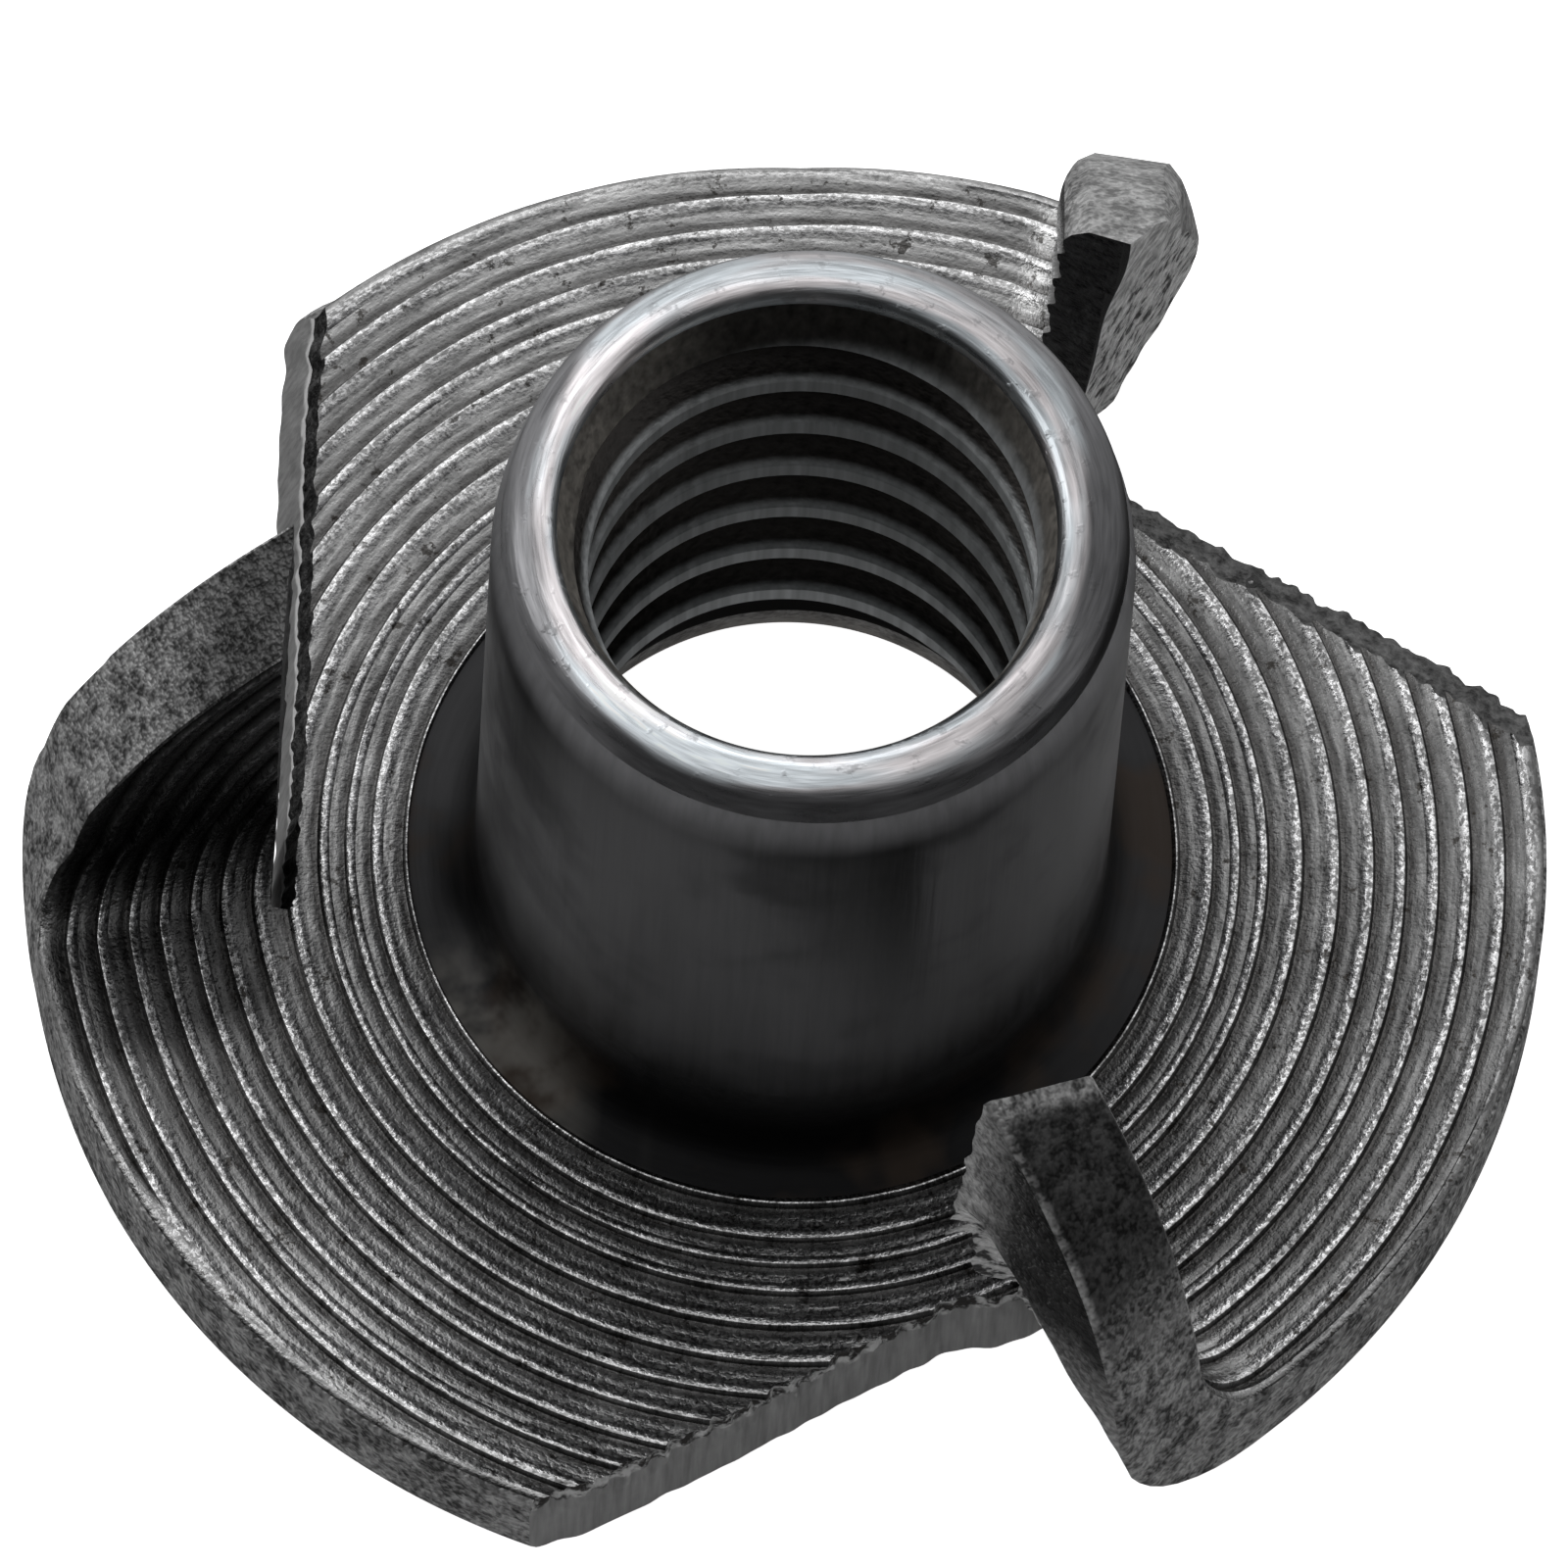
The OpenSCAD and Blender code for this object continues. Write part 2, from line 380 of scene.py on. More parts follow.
def turn_blank(flange, barrel):
    """The turned blank, as one closed surface: rings, collar, barrel, mouth, thread, entry and rim."""
    columns = flange.columns
    angle = np.linspace(0, 2 * math.pi, columns, endpoint=False)
    radii, heights, finish = outer_rows(flange, barrel, angle)
    outside = np.stack([radii * np.cos(angle), radii * np.sin(angle), heights], -1)
    _, faces = sleeve(len(radii), columns)
    kinds = []
    for here, following in zip(finish, finish[1:]):
        kinds += [following if here == RIM else here] * columns
    bore, quads = bore_surface(barrel, columns, radii[-1][0], heights[-1][0])
    points = np.concatenate([outside.reshape(-1, 3), bore.reshape(-1, 3)])
    points[:, :2] = off_centre(points, barrel.height / MM)
    kinds += [THREAD] * len(quads)
    weld(new_mesh(PIECE, points, np.concatenate([faces, quads + radii.size]), kinds))


# ---------------------------------------------------------------- cuts and folds

# Each prong: its place round the nut, the turn of its fold line, the fold's offset, the fold's angle,
# the stretch of the flap, how far the rim had spread at the fold, halfway and at the tip, how far
# the prong's top is twisted, how round its rim is worn and the height from which the tear rounds its top
# off, because each was torn and folded a little differently.
PRONGS = (
    {"place": 0, "turn": 19.4, "offset": 1.10, "fold": 90.9, "stretch": 1.10,
     "swell": (0.002, -0.015, 0.029), "twist": 0, "worn": 0.05, "stub": 99},
    {"place": 120, "turn": 19.5, "offset": 1.11, "fold": 95.0, "stretch": 1.10,
     "swell": (-0.004, -0.01, 0.0), "twist": 0, "worn": 0.12, "stub": 99},
    {"place": -120, "turn": 18.0, "offset": 0.58, "fold": 88.0, "stretch": 1.01,
     "swell": (0.026, 0.024, 0.078), "twist": 12, "worn": 0.64, "stub": 8.6},
)
# Each cut's line on the upper face: distance from the axis at its outer and inner end, how much further
# out it runs beside the fold, how far the fracture under it stands out and at what height, how far the
# lower edge stands out at both ends, where the flare begins, how much of the outer corner is rounded off,
# how far the lower corner was dragged outwards, how ragged the fracture is, and the finish of its wall
# under and over the fracture's height.
CUTS = (
    {"outer": 7.38, "inner": 7.12, "root": 0.0, "shelf": (0.2, 1.15), "flare": (0.6, 0.38),
     "from": (-2.2, -1.3), "corner": 0.0, "drag": 0.75, "ragged": 0.007, "finish": (SHEARED, BROKEN)},
    {"outer": 7.8, "inner": 7.42, "root": 0.3, "shelf": (0.03, 1.5), "flare": (0.05, 0.05),
     "from": (-1.2, 0.3), "corner": 0.12, "drag": 0.0, "ragged": 0.014, "finish": (SHEARED, SHEARED)},
    {"outer": 7.44, "inner": 7.03, "root": 0.15, "shelf": (0.64, 1.38), "flare": (0.75, 0.7),
     "from": (-1.2, 0.3), "corner": 0.0, "drag": 0.0, "ragged": 0.013, "finish": (BROKEN, BROKEN)},
)
# Each tear down a prong's outer side: where it starts at the underside, how it leans as it climbs, how
# rough it is, how much lumpier it is at its root, how far its near end stands out under the top, and the
# rounding where it meets the cut. The lean carries it out of the prong's side at some height.
TEARS = (
    {"start": -0.4, "lean": 0.25, "rough": 0.02, "lumps": 0.0, "cant": 0.0, "corner": 0.55},
    {"start": -0.6, "lean": 0.28, "rough": 0.02, "lumps": 3.0, "cant": 0.0, "corner": 0.55},
    {"start": -0.62, "lean": 0.112, "rough": 0.03, "lumps": 0.0, "cant": 0.22, "corner": 0.15},
)
NEUTRAL = 0.4            # where in the plate's thickness the fold neither stretches nor squeezes
SLIT = 0.05              # narrowest gap of a cut
STREAKS = 0.008          # depth of the upright streaks in a cut's wall
FLAP_ROUGHNESS = 0.014   # how rough the torn end of each flap is
TEAR_POINTS = 34         # points along each row of a tear, before its rounded corner
TEAR_REACH = 12.6        # how far from the axis a tear's hollow goes
TEAR_BACK = 3.2          # how far it goes past the prong's outer side
RIM_LIMIT = 11.07        # how far out the spread rim goes at most
WORN_TOP = 1.78          # height of the flange's upper edge where it was worn round


def turned(points, degrees):
    """The points, turned about the nut's axis."""
    a = math.radians(degrees)
    spin = np.array([[math.cos(a), -math.sin(a), 0], [math.sin(a), math.cos(a), 0], [0, 0, 1]])
    return points @ spin.T


class Fold:
    """The bend of one flap, in the frame of its own prong, in millimetres."""

    def __init__(self, prong, radius, thickness):
        self.turn = math.radians(prong["turn"])
        self.along = np.array([math.cos(self.turn), math.sin(self.turn)])
        self.across = np.array([-math.sin(self.turn), math.cos(self.turn)])
        self.offset, self.angle = prong["offset"], math.radians(prong["fold"])
        self.radius, self.thickness = radius, thickness
        self.stretch = prong["stretch"]
        self.length = self.angle * (self.radius + NEUTRAL * thickness)
        self.twist = math.radians(prong["twist"])

    def past(self, points):
        """How far each point lies past the fold line."""
        return points[:, :2] @ self.across - self.offset

    def bent(self, past, depth):
        """(distance across, height) of points at a distance past the line and a depth in the plate."""
        s = np.where(past > 0, past * self.stretch, past)
        r = self.radius + depth
        b = np.clip(s / self.length, 0, 1) * self.angle
        rest = np.clip(s - self.length, 0, None)
        across = self.offset + np.minimum(s, 0) + r * np.sin(b) + rest * math.cos(self.angle)
        height = self.thickness + self.radius - r * np.cos(b) + rest * math.sin(self.angle)
        return across, height

    def end_along(self, past, depth, cut_x):
        """Where along the fold line the flap ends, so that its bent end lies on the cut's plane."""
        across, _ = self.bent(past, depth)
        return (-cut_x + across * math.sin(self.turn)) / math.cos(self.turn)

    def twisted(self, points, cut_x):
        """Turns the upper part of the prong about its inner end."""
        level = (self.offset + self.radius - cut_x * math.sin(self.turn)) / math.cos(self.turn)
        share = self.twist * smooth(points[:, 2], 2.0, 7.5)
        x, y = points[:, 0] + cut_x, points[:, 1] - level
        cos, sin = np.cos(share), np.sin(share)
        return np.column_stack([x * cos - y * sin - cut_x, x * sin + y * cos + level, points[:, 2]])

    def apply(self, points, cut_x):
        """The flap's points, folded up and twisted."""
        across, height = self.bent(self.past(points), self.thickness - points[:, 2])
        along = points[:, :2] @ self.along
        flat = along[:, None] * self.along + across[:, None] * self.across
        return self.twisted(np.column_stack([flat, height]), cut_x)


def cut_face_x(cutting, y, z, thickness, seed):
    """Distance of the flange's cut face from the axis, with its flare, fracture and streaks."""
    share = smooth(y, 0.0, 7.6)
    line = cutting["inner"] + (cutting["outer"] - cutting["inner"]) * share
    line = line + cutting["root"] * (1 - smooth(y, 0.1, 1.1))
    out, level = cutting["shelf"]
    foot = cutting["flare"][1] + (cutting["flare"][0] - cutting["flare"][1]) * share
    below = out + (foot - out) * np.clip(1 - z / level, 0, 1)
    flare = np.where(z > level, out * np.clip((thickness - z) / (thickness - level), 0, 1), below)
    flare = flare * smooth(y, *cutting["from"])
    rim = np.hypot(line + flare, y)
    corner = cutting["corner"] * smooth(rim, 10.4, 11.1)
    rng = np.random.default_rng(SEED + seed)
    streaks = ripples(rng, 14, y, (2, 14))
    ragged = ripples(rng, 26, y, (4, 30), z, 9)
    torn = smooth(z / thickness, 0.5, 0.7)
    return line + flare - corner + streaks * STREAKS + ragged * cutting["ragged"] * torn


def cutter(prong, cutting, fold, cut_x, thickness, seed):
    """The tool that cuts one flap free: a wedge from a slit at the fold line to wide open at the rim."""
    levels = np.concatenate([[-0.6], np.linspace(0, thickness, 15), [thickness + 0.7]])
    pasts = np.concatenate([np.linspace(-0.12, 3.0, 40), np.linspace(3.1, 10.4, 75)])
    flap, plate = [], []
    for s in pasts:
        depth = thickness - np.clip(levels, 0, thickness)
        past = np.full_like(levels, s)
        along = fold.end_along(np.where(past > 0, past, 0), depth, cut_x)
        spot = along[:, None] * fold.along + (fold.offset + past)[:, None] * fold.across
        y = spot[:, 1]
        face = -cut_face_x(cutting, y, np.clip(levels, 0, thickness), thickness, seed)
        rough = ripples(np.random.default_rng(SEED + seed), 16, s, (3, 16), levels, 8)
        torn = 1 - smooth(levels / thickness, 0.25, 0.45)
        spot[:, 0] += rough * FLAP_ROUGHNESS * torn * smooth(s, 0.5, 1.5)
        spot[:, 0] = np.minimum(spot[:, 0], face - SLIT)
        flap.append(np.column_stack([spot, levels]))
        plate.append(np.column_stack([face, y, levels]))
    flap, plate = np.array(flap), np.array(plate)
    ring = np.concatenate([plate, flap[:, ::-1]], axis=1)
    count, around = ring.shape[:2]
    index, faces = sleeve(count, around)
    half = around // 2
    under, over = cutting["finish"]
    wall = [over if z > cutting["shelf"][1] else under for z in levels]
    kinds = (wall + [BROKEN] * half) * (count - 1) + [BROKEN] * (2 * half - 2)
    for end in (index[0], index[-1]):
        for k in range(half - 1):
            faces.append(np.array([end[k], end[k + 1], end[around - 2 - k], end[around - 1 - k]]))
    tool = new_mesh("cutter", turned(ring.reshape(-1, 3), prong["place"]), faces, kinds)
    weld(tool)
    return tool


def tear(prong, cutting, shape, cut_x, thickness, seed):
    """The ragged hollow torn down the outer side of a prong, from the underside upwards."""
    levels = np.concatenate([[-0.8], np.linspace(0, 10.5, 70)])
    turn = np.linspace(0, math.pi / 2, 7)
    corner = shape["corner"]
    lift = np.concatenate([np.zeros(TEAR_POINTS), corner * (1 - np.cos(turn))])
    beside = np.linspace(shape["start"], TEAR_BACK, 12)
    rows = []
    for z in levels:
        # beside the plate the tear keeps clear of the cut's own wall
        level = np.full_like(beside, np.clip(z, 0, thickness))
        wall = cut_face_x(cutting, beside, level, thickness, 100 + seed).max() + 0.03
        end = -(wall + (cut_x - 0.03 - wall) * float(smooth(z, thickness, thickness + 0.25)))
        across = np.concatenate([np.linspace(-TEAR_REACH, end - corner - 0.1, TEAR_POINTS),
                                 end - corner * (1 - np.sin(turn))])
        rough = np.zeros_like(across)
        for k in range(12):
            phase = across * (1.3 + 0.9 * k) + z * (1.9 - 0.7 * (k % 5)) + 1.7 * k + seed
            rough += np.sin(phase) / (1 + 0.35 * k)
        # lumps stand where the flap tore away from the plate, and the top's far corner is rounded off
        lumps = 1 + shape["lumps"] * math.exp(-((z - 2.6) / 1.3) ** 2)
        front = shape["start"] + shape["lean"] * max(z, 0) + lift + shape["rough"] * lumps * rough
        front = front + shape["cant"] * (1 - smooth(z, 2.5, 7.0)) * np.clip((across + 11) / 3.5, 0, 1)
        front = front - 0.8 * max(0, z - prong["stub"]) ** 2 * smooth(-across, 8.2, 9.6)
        rows.append(np.column_stack([np.append(across, (end, -TEAR_REACH)),
                                     np.append(front, (TEAR_BACK, TEAR_BACK)), np.full(len(across) + 2, z)]))
    rows = np.array(rows)
    count, around = rows.shape[:2]
    index, faces = sleeve(count, around)
    hubs = [(-9.8, 2.5, levels[0]), (-9.8, 2.5, levels[-1])]
    for ring, hub in ((index[0], count * around), (index[-1], count * around + 1)):
        faces += [np.array([ring[k], ring[(k + 1) % around], hub]) for k in range(around)]
    points = np.concatenate([rows.reshape(-1, 3), hubs])
    tool = new_mesh("tear", turned(points, prong["place"]), faces, [TORN] * len(faces))
    weld(tool)
    keep_place(tool)
    return tool


def keep_place(obj):
    """Keeps each point's present place, which the finishes read, and marks it as flat."""
    place = obj.data.attributes.new("blank_place", "FLOAT_VECTOR", "POINT")
    place.data.foreach_set("vector", (places(obj) * MM).ravel())


def spread_rim(points, prong, fold):
    """Spreads the rim outwards near a flap, as the press did before the fold."""
    local = turned(points, -prong["place"])
    reach = np.hypot(local[:, 0], local[:, 1])
    beyond = smooth(-local[:, 0], 8.25, 8.35) + smooth(-local[:, 1], -0.5, 0.5) * (local[:, 0] < -6)
    past = fold.past(local)
    swell = np.interp(past, (-3.5, 0.0, 2.5, 5.0), (0, *prong["swell"]))
    grow = 1 + swell * smooth(reach, 7.0, 11.0) * np.clip(beyond, 0, 1)
    # the rim's edges were tumbled round
    height, worn = local[:, 2], prong["worn"]
    low, high = np.clip(worn - height, 0, worn), np.clip(height - WORN_TOP + worn, 0, worn)
    inset = 2 * worn - np.sqrt(worn ** 2 - low ** 2) - np.sqrt(worn ** 2 - high ** 2)
    limit = RIM_LIMIT - inset * smooth(past, 0.5, 2.5) * np.clip(beyond, 0, 1)
    grow *= np.minimum(1, limit / np.maximum(reach, 1))
    local[:, :2] *= grow[:, None]
    return turned(local, prong["place"])


def drag_corner(points, prong, cutting):
    """Drags the lower corner between a cut and the rim outwards, as the punch did."""
    local = turned(points, -prong["place"])
    corner = np.array([-cutting["outer"] - 0.3, 7.6])
    near = 1 - smooth(np.hypot(local[:, 0] - corner[0], local[:, 1] - corner[1]), 0.2, 2.4)
    low = 1 - smooth(local[:, 2], 0.2, 1.6)
    reach = smooth(np.hypot(local[:, 0], local[:, 1]), 8.5, 11.0)
    local[:, 1] += cutting["drag"] * near * low * reach
    return turned(local, prong["place"])


def flap_points(local, fold, edges):
    """Which points belong to one flap: those past the fold line that hang together with its rim."""
    past = fold.past(local)
    beyond = (past > 0) & (local[:, 0] < -5) & (np.hypot(local[:, 0], local[:, 1]) > 6)
    near = edges[beyond[edges[:, 0]] & beyond[edges[:, 1]]]
    middle = fold.along * -9.5 + fold.across * (fold.offset + 2.0)
    seed = np.argmin(np.where(beyond, np.hypot(*(local[:, :2] - middle).T), 99))
    found = np.zeros(len(local), bool)
    found[seed] = True
    count = 0
    while found.sum() > count:
        count = found.sum()
        reached = near[found[near[:, 0]] | found[near[:, 1]]]
        found[reached.ravel()] = True
    return found


def shear_and_fold(nut, flange, prongs):
    """Cuts and folds the three prongs, and keeps each point's place on the flat blank."""
    thickness = flange.thickness / MM
    cut_x = prongs.cut_x / MM
    folds = [Fold(prong, prongs.fold_radius / MM, thickness) for prong in PRONGS]
    for prong, fold in zip(PRONGS, folds):
        put_places(nut, spread_rim(places(nut), prong, fold))
    for k, (prong, cutting, fold) in enumerate(zip(PRONGS, CUTS, folds)):
        cut(nut, cutter(prong, cutting, fold, cut_x, thickness, 100 + k))
    for prong, cutting in zip(PRONGS, CUTS):
        put_places(nut, drag_corner(places(nut), prong, cutting))
    keep_place(nut)
    flat = places(nut)
    edges = np.empty(len(nut.data.edges) * 2, np.int32)
    nut.data.edges.foreach_get("vertices", edges)
    edges = edges.reshape(-1, 2)
    folded = flat.copy()
    for prong, fold in zip(PRONGS, folds):
        local = turned(flat, -prong["place"])
        flap = flap_points(local, fold, edges)
        local[flap] = fold.apply(local[flap], cut_x)
        folded[flap] = turned(local[flap], prong["place"])
    put_places(nut, folded)
    for k, (prong, cutting, shape) in enumerate(zip(PRONGS, CUTS, TEARS)):
        cut(nut, tear(prong, cutting, shape, cut_x, thickness, k))


# ---------------------------------------------------------------- finishes

class Tree:
    """Short words for building a node tree. A value may be a number, a triple or another node's output."""

    def __init__(self, tree):
        self.tree = tree

    def add(self, kind, **settings):
        node = self.tree.nodes.new(kind)
        node.location = (190 * (len(self.tree.nodes) % 12), -230 * (len(self.tree.nodes) // 12))
        for name, value in settings.items():
            setattr(node, name, value)
        return node

    def feed(self, socket, value):
        if isinstance(value, bpy.types.NodeSocket):
            self.tree.links.new(value, socket)
        elif value is not None:
            socket.default_value = value

    def math(self, how, a, b=None, c=None):
        node = self.add("ShaderNodeMath", operation=how)
        for socket, value in zip(node.inputs, (a, b, c)):
            self.feed(socket, value)
        return node.outputs[0]

    def vector(self, how, a, b=None, scale=None):
        node = self.add("ShaderNodeVectorMath", operation=how)
        self.feed(node.inputs[0], a)
        self.feed(node.inputs[1], b)
        self.feed(node.inputs[3], scale)
        return node.outputs[1 if how == "LENGTH" else 0]

    def split(self, vector):
        node = self.add("ShaderNodeSeparateXYZ")
        self.feed(node.inputs[0], vector)
        return node.outputs[0], node.outputs[1], node.outputs[2]

    def join(self, x, y, z):
        node = self.add("ShaderNodeCombineXYZ")
        for socket, value in zip(node.inputs, (x, y, z)):
            self.feed(socket, value)
        return node.outputs[0]

    def noise(self, vector, scale=1.0, detail=3.0, rough=0.6):
        node = self.add("ShaderNodeTexNoise")
        self.feed(node.inputs["Vector"], vector)
        for name, value in (("Scale", scale), ("Detail", detail), ("Roughness", rough)):
            self.feed(node.inputs[name], value)
        return node.outputs["Fac"]

    def span(self, value, lo, hi, low=0.0, high=1.0, soft=False):
        node = self.add("ShaderNodeMapRange", interpolation_type="SMOOTHSTEP" if soft else "LINEAR")
        for socket, number in zip(node.inputs, (value, lo, hi, low, high)):
            self.feed(socket, number)
        return node.outputs[0]

    def mix(self, factor, a, b, how="MIX"):
        node = self.add("ShaderNodeMix", data_type="RGBA", blend_type=how)
        self.feed(node.inputs[0], factor)
        self.feed(node.inputs[6], (*a, 1) if isinstance(a, tuple) else a)
        self.feed(node.inputs[7], (*b, 1) if isinstance(b, tuple) else b)
        return node.outputs[2]

    def shade(self, colour, value):
        """The colour, made lighter or darker by a value."""
        return self.mix(1.0, colour, value, "MULTIPLY")


def effect(name, inputs, outputs, build):
    """A node group with named inputs (name, kind, default) and outputs (name, kind)."""
    tree = bpy.data.node_groups.new(name, "ShaderNodeTree")
    for title, kind, value in inputs:
        socket = tree.interface.new_socket(title, in_out="INPUT", socket_type="NodeSocket" + kind)
        if value is not None:
            socket.default_value = value
    for title, kind in outputs:
        tree.interface.new_socket(title, in_out="OUTPUT", socket_type="NodeSocket" + kind)
    t = Tree(tree)
    given = t.add("NodeGroupInput").outputs
    result = t.add("NodeGroupOutput").inputs
    for title, value in build(t, given).items():
        t.feed(result[title], value)
    return tree


def use(t, name, **values):
    """Places a node group and feeds its named inputs; spaces stand for underscores."""
    node = t.add("ShaderNodeGroup", node_tree=bpy.data.node_groups[name])
    for title, value in values.items():
        t.feed(node.inputs[title.replace("_", " ")], value)
    return node.outputs


def build_effects():
    """Builds the node groups that the finishes share."""
    def blank_place(t, given):
        place = t.add("ShaderNodeAttribute", attribute_name="blank_place").outputs["Vector"]
        mm = t.vector("SCALE", place, scale=1 / MM)
        x, y, z = t.split(mm)
        flat = t.join(x, y, 0)
        return {"Place": mm, "Radius": t.vector("LENGTH", flat), "Height": z,
                "Outwards": t.vector("NORMALIZE", flat)}

    effect("Place on the blank", (), (("Place", "Vector"), ("Radius", "Float"), ("Height", "Float"),
                                      ("Outwards", "Vector")), blank_place)

    def nut_place(t, given):
        mm = t.vector("SCALE", t.add("ShaderNodeTexCoord").outputs["Object"], scale=1 / MM)
        return {"Place": mm, "Height": t.split(mm)[2]}

    effect("Place on the nut", (), (("Place", "Vector"), ("Height", "Float")), nut_place)

    def turned_streaks(t, given):
        spot = use(t, "Place on the blank")
        run = t.vector("SCALE", spot["Outwards"], scale=given["Along"])
        up = t.join(0, 0, t.math("MULTIPLY", spot["Radius"], given["Across"]))
        return {"Streak": t.noise(t.vector("ADD", run, up), 1.0, given["Detail"], 0.65)}

    effect("Turned streaks", (("Along", "Float", 14.0), ("Across", "Float", 14.0), ("Detail", "Float", 3.0)),
           (("Streak", "Float"),), turned_streaks)

    def drawn_streaks(t, given):
        spot = use(t, "Place on the blank")
        # upright on the barrel, and round it on the collar
        climb = t.span(spot["Height"], 2.0, 3.3, 0.1, 1.0, soft=True)
        run = t.vector("SCALE", spot["Outwards"], scale=t.math("MULTIPLY", given["Around"], climb))
        rings = t.math("MULTIPLY", spot["Radius"], 7.0)
        up = t.math("MULTIPLY_ADD", spot["Height"], given["Upwards"], rings)
        return {"Streak": t.noise(t.vector("ADD", run, t.join(0, 0, up)), 1.0, given["Detail"], 0.6)}

    effect("Drawn streaks", (("Around", "Float", 40.0), ("Upwards", "Float", 0.3), ("Detail", "Float", 3.0)),
           (("Streak", "Float"),), drawn_streaks)

    def grain(t, given):
        fine = t.noise(use(t, "Place on the nut")["Place"], t.math("DIVIDE", 1.0, given["Size"]), 1.0, 0.6)
        return {"Grain": t.span(fine, 0.34, 0.66)}

    effect("Metal grain", (("Size", "Float", 0.06),), (("Grain", "Float"),), grain)

    def stains(t, given):
        soft = t.noise(use(t, "Place on the nut")["Place"], t.math("DIVIDE", 1.0, given["Size"]), 3.0, 0.6)
        return {"Stain": t.span(soft, given["From"], given["To"], soft=True)}

    effect("Stains", (("Size", "Float", 2.0), ("From", "Float", 0.45), ("To", "Float", 0.7)),
           (("Stain", "Float"),), stains)

    # painted shade on the front prong's upper part, above a wavering height
    def front_prong_shade(t, given):
        x, y, z = t.split(use(t, "Place on the nut")["Place"])
        front = t.math("MULTIPLY", t.span(x, 3.0, 3.6), t.span(y, -3.0, -4.0))
        level = t.math("MULTIPLY_ADD", given["Patch"], given["Waver"], z)
        return {"Painted shade": t.math("MULTIPLY", front, t.span(level, given["From"], given["To"], soft=True))}

    effect("Rubbed front prong", (("Patch", "Float", 0.5), ("Waver", "Float", 0.8), ("From", "Float", 4.4),
                                  ("To", "Float", 6.4)), (("Painted shade", "Float"),), front_prong_shade)


def material(name):
    """A new metal material: its tree and its shader's inputs."""
    mat = bpy.data.materials.new(name)
    mat.use_nodes = True
    shader = mat.node_tree.nodes["Principled BSDF"]
    shader.inputs["Metallic"].default_value = 1.0
    shader.location = (2600, 0)
    mat.node_tree.nodes["Material Output"].location = (2900, 0)
    return Tree(mat.node_tree), shader.inputs


def relief(t, shader, height, depth_mm):
    """Feeds the shader's normal from a height between 0 and 1, that stands for a depth in millimetres."""
    node = t.add("ShaderNodeBump")
    node.inputs["Strength"].default_value = 1.0
    node.inputs["Distance"].default_value = depth_mm * MM
    t.feed(node.inputs["Height"], height)
    t.feed(shader["Normal"], node.outputs[0])


def mix_turned_face(steel, dark, top):
    """The ringed face: ridges painted with sparkling highlights, grooves dark with oily dirt and painted
    shade, and fine turning marks between.
    """
    t, shader = material("turned_face")
    spot = use(t, "Place on the blank")
    x, y, z = t.split(spot["Place"])
    chatter = use(t, "Turned streaks", Along=11.0, Across=11.0, Detail=2.0)["Streak"]
    grit = use(t, "Turned streaks", Along=105.0, Across=15.0, Detail=2.0)["Streak"]
    broad = t.noise(spot["Place"], 0.45, 2.0, 0.6)
    depth = t.math("SUBTRACT", top, z)
    frayed = t.math("MULTIPLY_ADD", t.math("SUBTRACT", grit, 0.5), 0.06, depth)
    groove = t.span(frayed, 0.058, 0.1, soft=True)
    speck = t.span(grit, 0.38, 0.64)
    glint = t.math("MULTIPLY", t.span(speck, 0.4, 0.7, 0.12, 1.0), t.span(chatter, 0.35, 0.6, 0.35, 1.0))
    # painted highlight: the ridges are painted near white in glinting specks
    ridge = t.math("MULTIPLY", t.span(frayed, 0.05, 0.022), glint)
    light = t.math("MULTIPLY_ADD", t.span(chatter, 0.32, 0.68), 0.65, t.math("MULTIPLY", speck, 0.35))
    tone = t.math("MULTIPLY", light, t.span(broad, 0.3, 0.7, 0.65, 1.2))
    # painted light and shade: the land is painted lighter behind the barrel and just in front of it, and
    # darker to the right and far left
    painted_light = t.math("ADD", t.span(y, -4.0, 10.0, 0.95, 1.55), t.span(y, -5.0, -7.5, 0.0, 0.55))
    painted_light = t.math("MULTIPLY", painted_light, t.span(x, 3.0, 7.0, 1.0, 0.62))
    painted_light = t.math("MULTIPLY", painted_light, t.span(x, -6.0, -8.0, 1.0, 0.76))
    land = t.shade(steel, t.math("MULTIPLY", t.span(tone, 0.0, 1.0, 0.3, 1.6), painted_light))
    # painted shade: the left fold's corner and the folded faces are painted darker
    past_fold = t.math("MULTIPLY_ADD", x, -0.33, t.math("MULTIPLY", y, 0.94))
    corner = t.math("MULTIPLY", t.span(past_fold, -1.3, -0.4, soft=True),
                    t.span(past_fold, 2.4, 1.0, soft=True))
    corner = t.math("MULTIPLY", corner, t.span(x, -7.1, -7.5))
    fold_shade = t.span(use(t, "Place on the nut")["Height"], 1.9, 2.7, 1.0, 0.9, soft=True)
    fold_shade = t.math("MULTIPLY", fold_shade, t.span(corner, 0.0, 1.0, 1.0, 0.4))
    fleck = t.span(t.noise(spot["Place"], 2.4, 5.0, 0.75), 0.61, 0.64)
    # the grooves are painted dark, partly oily dirt and partly painted shade
    colour = t.mix(t.math("MULTIPLY", groove, 0.66), land, dark)
    bright = t.mix(t.math("MULTIPLY", ridge, 0.95), colour, (0.92, 0.92, 0.93))
    bright = t.mix(t.math("MULTIPLY", fleck, 0.8), bright, (0.03, 0.026, 0.022))
    t.feed(shader["Base Color"], t.shade(bright, fold_shade))
    t.feed(shader["Roughness"], t.span(t.math("SUBTRACT", speck, ridge), -0.5, 1.0, 0.16, 0.36))
    relief(t, shader, t.math("MULTIPLY_ADD", chatter, 0.6, grit), 0.016)


